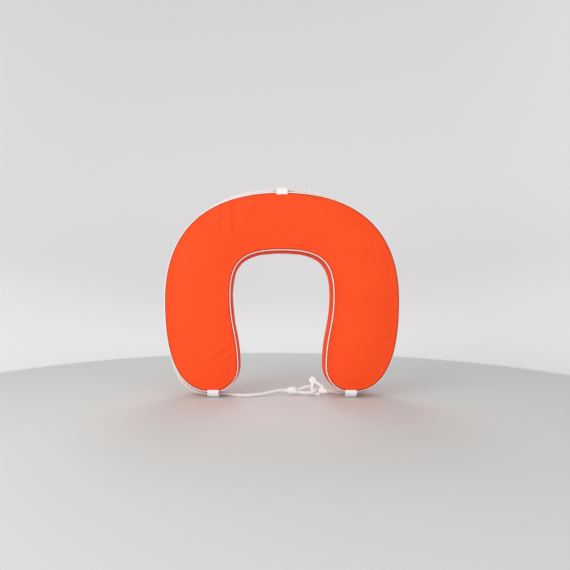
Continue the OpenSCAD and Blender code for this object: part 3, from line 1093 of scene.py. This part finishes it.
class Finish:
    """A material with one Principled shader; constants go straight onto the shader's sockets."""

    def __init__(self, name, **constants):
        self.material = bpy.data.materials.new(name)
        self.material.use_nodes = True
        self.shader = self.material.node_tree.nodes["Principled BSDF"]
        self.start = Shade(self.material.node_tree)
        for socket, value in constants.items():
            self.shader.inputs[socket.replace("_", " ")].default_value = value

    def feed(self, socket, shade):
        self.start.tree.links.new(shade.socket, self.shader.inputs[socket])

    def place(self):
        return self.start.node("ShaderNodeTexCoord", output="Object")

    def mapped(self, uv_map):
        """The two coordinates of a piece's own map."""
        uv = self.start.node("ShaderNodeUVMap", {"uv_map": uv_map})
        return uv.axis("X"), uv.axis("Y")

    def attribute(self, name):
        return self.start.node("ShaderNodeAttribute", {"attribute_name": name}, output="Fac")

    def cloud(self, size, detail=3.0):
        """Soft noise with features of that size, about 0.5 in the middle."""
        inputs = {"Vector": self.place(), "Scale": 1 / size, "Detail": detail}
        return self.start.node("ShaderNodeTexNoise", None, inputs)

    def bump(self, height, distance):
        inputs = {"Height": height, "Distance": distance, "Strength": 1.0}
        self.feed("Normal", self.start.node("ShaderNodeBump", None, inputs))

    def on(self, *pieces):
        for piece in pieces:
            piece.data.materials.clear()
            piece.data.materials.append(self.material)
        print(self.material.name, "on", [piece.name for piece in pieces])


# %% [markdown]
# ## Coated fabric
# The cover is a fine plain weave with a flexible orange coating. The coating fills the weave, so
# its threads show only as a faint grain. A row of stitches runs beside each seam, in a groove that
# its thread pulls into the fabric, and the groove's colour is darkened a little as painted shade.
# The colour drifts slightly from place to place, dust darkens the fabric a little near the seams,
# and the crease beside the piping is painted dark brown as its shade. Every piece of the cover
# carries its distance from the seam and its place along it as attributes, so the stitches follow
# the seam round every bend.

# %% Finish of the cover
thread_pitch = 0.8 * MM
stitch_gap = 4.5 * MM
stitch_half_w = 0.6 * MM
stitch_pitch = seam_length / round(seam_length / (3.5 * MM))
orange = (0.97, 0.082, 0.017, 1)
orange_deep = (0.86, 0.058, 0.010, 1)
orange_thread = (0.92, 0.11, 0.025, 1)
crease_shade_from = 0.5 * MM
crease_shade_to = 2.2 * MM
crease_shade_brown = (0.38, 0.036, 0.012, 1)
fabric = Finish("coated_fabric", Specular_IOR_Level=0.08)
fabric_u, fabric_v = fabric.mapped("cloth")
from_seam = fabric.attribute("from_seam")
near_seam = 1 - from_seam.between(0, 22 * MM)
seam_dust = near_seam * near_seam * fabric.cloud(9 * MM).between(0.3, 0.75)
off_stitch = abs(from_seam - stitch_gap)
stitch_groove = 1 - off_stitch.between(0, 3 * stitch_half_w)
stitch_dash = fabric.attribute("along_seam").wave(stitch_pitch).between(-0.75, -0.4)
stitches = (1 - off_stitch.between(0.5 * stitch_half_w, stitch_half_w)) * stitch_dash
fabric_drift = fabric.cloud(70 * MM).between(0.35, 0.7)
# random drift and dust near the seams, plus painted shade in the stitch groove
drift_dust_and_stitch_shade = (fabric_drift * 0.22 + seam_dust * 0.5 + stitch_groove * 0.25).blend(orange, orange_deep)
# painted shade: the crease beside the piping is darkened to brown, as its shadow
crease_shade = 1 - from_seam.between(crease_shade_from, crease_shade_to)
sewn = stitches.blend(drift_dust_and_stitch_shade, orange_thread)
fabric.feed("Base Color", crease_shade.blend(sewn, crease_shade_brown))
fabric.feed("Roughness", 0.46 + 0.16 * fabric.cloud(25 * MM) + 0.12 * seam_dust)
weave = fabric_u.wave(thread_pitch) * fabric_v.wave(thread_pitch)
grain = weave * 0.03 + fabric.cloud(3 * MM) * 0.04
fabric.bump(grain + stitches * 0.3 - stitch_groove * 0.35, 1 * MM)
fabric.on(*cover)

# %% [markdown]
# ## Piping
# The piping is smooth soft vinyl. It stands proud of the cover on both sides, so it picks up a
# little grey wherever it has been set down.

# %% Finish of the piping
vinyl = Finish("white_vinyl")
vinyl_dust = vinyl.cloud(14 * MM).between(0.5, 0.85)
vinyl.feed("Base Color", vinyl_dust.blend((0.90, 0.88, 0.85, 1), (0.72, 0.68, 0.63, 1)))
vinyl.feed("Roughness", 0.33 + 0.2 * vinyl.cloud(6 * MM))
vinyl.bump(vinyl.cloud(1.2 * MM), 0.05 * MM)
vinyl.on(front_piping, rear_piping)

# %% [markdown]
# ## Rope
# Each strand is a bundle of yarns that runs nearly along the rope. The grooves between the strands
# are painted darker as shade, and faint dust lies at random over the whole rope. The sweep's map
# gives the length along the rope and the share round it, and that share turns with the strands. A
# wave over both undoes the turn, so its crests run along the rope as the yarns do.

# %% Finish of the ropes
yarn_count = 27
rope_white = (0.95, 0.945, 0.93, 1)
rope_dirt_and_shade = (0.62, 0.59, 0.54, 1)


def rope_finish(name, strands):
    finish = Finish(name, Specular_IOR_Level=0.3)
    along, around = finish.mapped("UVMap")
    groove = 0.5 - 0.5 * (around * strands + 0.25).wave(1)
    yarns = (around * yarn_count - along * (yarn_count / rope_lay)).wave(1)
    # painted shade in the grooves between the strands, with random dust and a faint yarn pattern
    rope_soil_and_groove_shade = groove * groove * 0.3 + finish.cloud(6 * MM).between(0.5, 0.85) * 0.15 + (1 - yarns) * 0.03
    finish.feed("Base Color", rope_soil_and_groove_shade.blend(rope_white, rope_dirt_and_shade))
    finish.feed("Roughness", 0.62 + 0.2 * finish.cloud(3 * MM))
    finish.bump(yarns * 0.11 + finish.cloud(0.8 * MM) * 0.12, 1 * MM)
    return finish


rope_finish("laid_rope", 3).on(grab_line, left_tail, right_tail, rope_eye)
rope_finish("spliced_rope", 6).on(eye_splice)

# %% [markdown]
# ## Webbing
# The tape is woven in ribs: fine threads along it pass over and under thicker ones across it, and
# its two edges are bound more tightly. The grid's own map is in metres, so the ribs keep their size.

# %% Finish of the webbing
rib_pitch = 1.8 * MM
warp_pitch = 1.2 * MM
tape = Finish("woven_tape", Specular_IOR_Level=0.3)
tape_along, tape_across = tape.mapped("cloth")
selvage = abs(tape_across).between(tape_w / 2 - 2.2 * MM, tape_w / 2 - 1.6 * MM)
ribs = tape_along.wave(rib_pitch) * tape_across.wave(2 * warp_pitch)
tape_soil = tape.cloud(8 * MM).between(0.45, 0.8) * 0.2 + (1 - ribs) * 0.06 + selvage * 0.1
tape.feed("Base Color", tape_soil.blend((0.93, 0.925, 0.91, 1), (0.68, 0.65, 0.61, 1)))
tape.feed("Roughness", 0.66 + 0.2 * tape.cloud(4 * MM))
tape.bump(ribs * 0.14 + selvage * 0.2 + tape.cloud(1 * MM) * 0.1, 1 * MM)
tape.on(*loops)

# %% [markdown]
# ## Hook, steel and foam
# The hook is satin nylon with the faint orange peel of its mould. Its pin and spring keep the
# frame's own solids and get a drawn-steel finish. The foam has small closed cells, which a cell
# texture gives at their real size.

# %% Finish of the hook, the steel and the foam
nylon = Finish("satin_nylon")
nylon_drift = nylon.cloud(7 * MM).between(0.45, 0.8)
nylon.feed("Base Color", nylon_drift.blend((0.94, 0.935, 0.92, 1), (0.84, 0.83, 0.81, 1)))
nylon.feed("Roughness", 0.36 + 0.16 * nylon.cloud(3 * MM))
nylon.bump(nylon.cloud(0.9 * MM), 0.06 * MM)
nylon.on(hook_body, hook_gate)

steel = Finish("drawn_steel", Metallic=1.0)
steel_streaks = steel.cloud(1.5 * MM, detail=6.0)
steel.feed("Base Color", steel_streaks.blend((0.66, 0.67, 0.68, 1), (0.48, 0.48, 0.49, 1)))
steel.feed("Roughness", 0.28 + 0.25 * steel_streaks)
steel.bump(steel_streaks, 0.02 * MM)
for node in hook_steel:
    for slot in node.material_slots:
        slot.material = steel.material

foam_cell = Finish("closed_cell_foam")
cell_inputs = {"Vector": foam_cell.place(), "Scale": 1 / (1.1 * MM)}
cells = foam_cell.start.node("ShaderNodeTexVoronoi", None, cell_inputs)
foam_cell.feed("Base Color", cells.between(0, 0.8).blend((0.70, 0.68, 0.60, 1), (0.80, 0.78, 0.71, 1)))
foam_cell.feed("Roughness", 0.75 + 0.2 * foam_cell.cloud(10 * MM))
foam_cell.bump(cells, 0.25 * MM)
foam_cell.on(*foams)

# %% [markdown]
# ## Stage colours
# The floor is a little darker than the backdrop, so the far edge of the floor shows as a soft
# horizon. The colour follows the height, and a faint cloud in the roughness keeps its sheen uneven.

# %% Finish of the stage
floor_grey = (0.65, 0.672, 0.662, 1)
backdrop_grey = (0.89, 0.89, 0.90, 1)
paper = Finish("pale_floor", Specular_IOR_Level=0.1)
stage_height = paper.place().axis("Z")
paper.feed("Base Color", stage_height.between(0.0001, 0.002).blend(floor_grey, backdrop_grey))
paper.feed("Roughness", 0.7 + 0.1 * paper.cloud(0.4))
paper.on(floor, backdrop)

# %% [markdown]
# ## Finish
# The two cross-sections have done their work.

# %% Remove the cross-sections
for section in (rope_section, splice_section):
    bpy.data.objects.remove(section)
